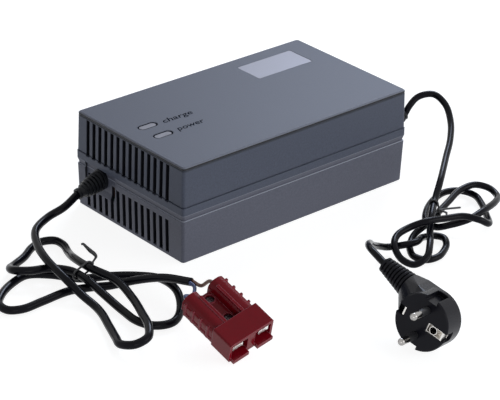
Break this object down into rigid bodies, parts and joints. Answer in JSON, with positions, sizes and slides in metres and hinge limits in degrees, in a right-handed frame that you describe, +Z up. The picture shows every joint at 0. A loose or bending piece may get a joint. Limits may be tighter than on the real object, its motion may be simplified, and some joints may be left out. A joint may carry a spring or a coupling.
{
  "type": "battery charger",
  "caption": "Mains battery charger: vented two-part plastic case, two indicator windows, mains lead with round earthed plug, battery lead with red two-pole connector",
  "frame": {"origin": "Middle of the underside of the case, measured on the case without its two leads and what is on them", "axes": "+X runs along the case from the battery lead's end to the mains lead's end, +Y runs across it towards the battery lead's side, +Z is up"},
  "size_m": [0.3799, 0.3107, 0.07],
  "materials": {
    "upper_housing": "fine grain",
    "lower_housing": "fine grain",
    "badge_plate": "satin foil",
    "charge_window": "clear tinted",
    "power_window": "clear tinted",
    "indicator_board": "laminate",
    "charge_lamp": "moulded",
    "power_lamp": "moulded",
    "indicator_screws": "zinc plated",
    "dc_strain_relief": "moulded",
    "mains_strain_relief": "moulded",
    "case_screws": "zinc plated",
    "main_board": "laminate",
    "board_screws": "zinc plated",
    "fuse_clips": "tinned",
    "fuse": "clear with metal caps",
    "choke_core": "sintered",
    "choke_windings": "enamelled copper",
    "line_capacitor": "moulded",
    "bridge_rectifier": "moulded",
    "bulk_capacitors": "sleeved",
    "transformer_core": "sintered",
    "transformer_winding": "taped",
    "primary_heat_sink": "extruded",
    "switching_transistors": "moulded",
    "output_heat_sink": "extruded",
    "output_rectifiers": "moulded",
    "output_choke_core": "coated",
    "output_choke_winding": "enamelled copper",
    "output_capacitors": "sleeved",
    "control_board": "laminate",
    "control_chip": "moulded",
    "optocouplers": "moulded",
    "mains_inner_leads": "insulated wire",
    "dc_inner_leads": "insulated wire",
    "dc_cord": "glossy jacket",
    "brown_wire": "insulation",
    "blue_wire": "insulation",
    "connector_housing": "moulded",
    "connector_contacts": "silver plated",
    "connector_screws": "zinc plated",
    "dc_cord_tie": "coated wire",
    "mains_cord": "glossy jacket",
    "mains_cord_tie": "coated wire",
    "plug_body": "moulded",
    "plug_pins": "nickel plated",
    "pin_sleeves": "moulded",
    "plug_earth_clips": "nickel plated"
  },
  "bodies": {
    "root": {"upper_housing": "upper_housing", "lower_housing": "lower_housing", "badge_plate": "badge_plate", "charge_window": "charge_window", "power_window": "power_window", "indicator_board": "indicator_board", "charge_lamp": "charge_lamp", "power_lamp": "power_lamp", "indicator_screws": "indicator_screws", "dc_strain_relief": "dc_strain_relief", "mains_strain_relief": "mains_strain_relief", "case_screws": "case_screws", "main_board": "main_board", "board_screws": "board_screws", "fuse_clips": "fuse_clips", "fuse": "fuse", "choke_core": "choke_core", "choke_windings": "choke_windings", "line_capacitor": "line_capacitor", "bridge_rectifier": "bridge_rectifier", "bulk_capacitors": "bulk_capacitors", "transformer_core": "transformer_core", "transformer_winding": "transformer_winding", "primary_heat_sink": "primary_heat_sink", "switching_transistors": "switching_transistors", "output_heat_sink": "output_heat_sink", "output_rectifiers": "output_rectifiers", "output_choke_core": "output_choke_core", "output_choke_winding": "output_choke_winding", "output_capacitors": "output_capacitors", "control_board": "control_board", "control_chip": "control_chip", "optocouplers": "optocouplers", "mains_inner_leads": "mains_inner_leads", "dc_inner_leads": "dc_inner_leads", "dc_cord": "dc_cord", "brown_wire": "brown_wire", "blue_wire": "blue_wire", "connector_housing": "connector_housing", "connector_contacts": "connector_contacts", "connector_screws": "connector_screws", "dc_cord_tie": "dc_cord_tie", "mains_cord": "mains_cord", "mains_cord_tie": "mains_cord_tie", "plug_body": "plug_body", "plug_pins": "plug_pins", "pin_sleeves": "pin_sleeves", "plug_earth_clips": "plug_earth_clips"}
  },
  "joints": []
}
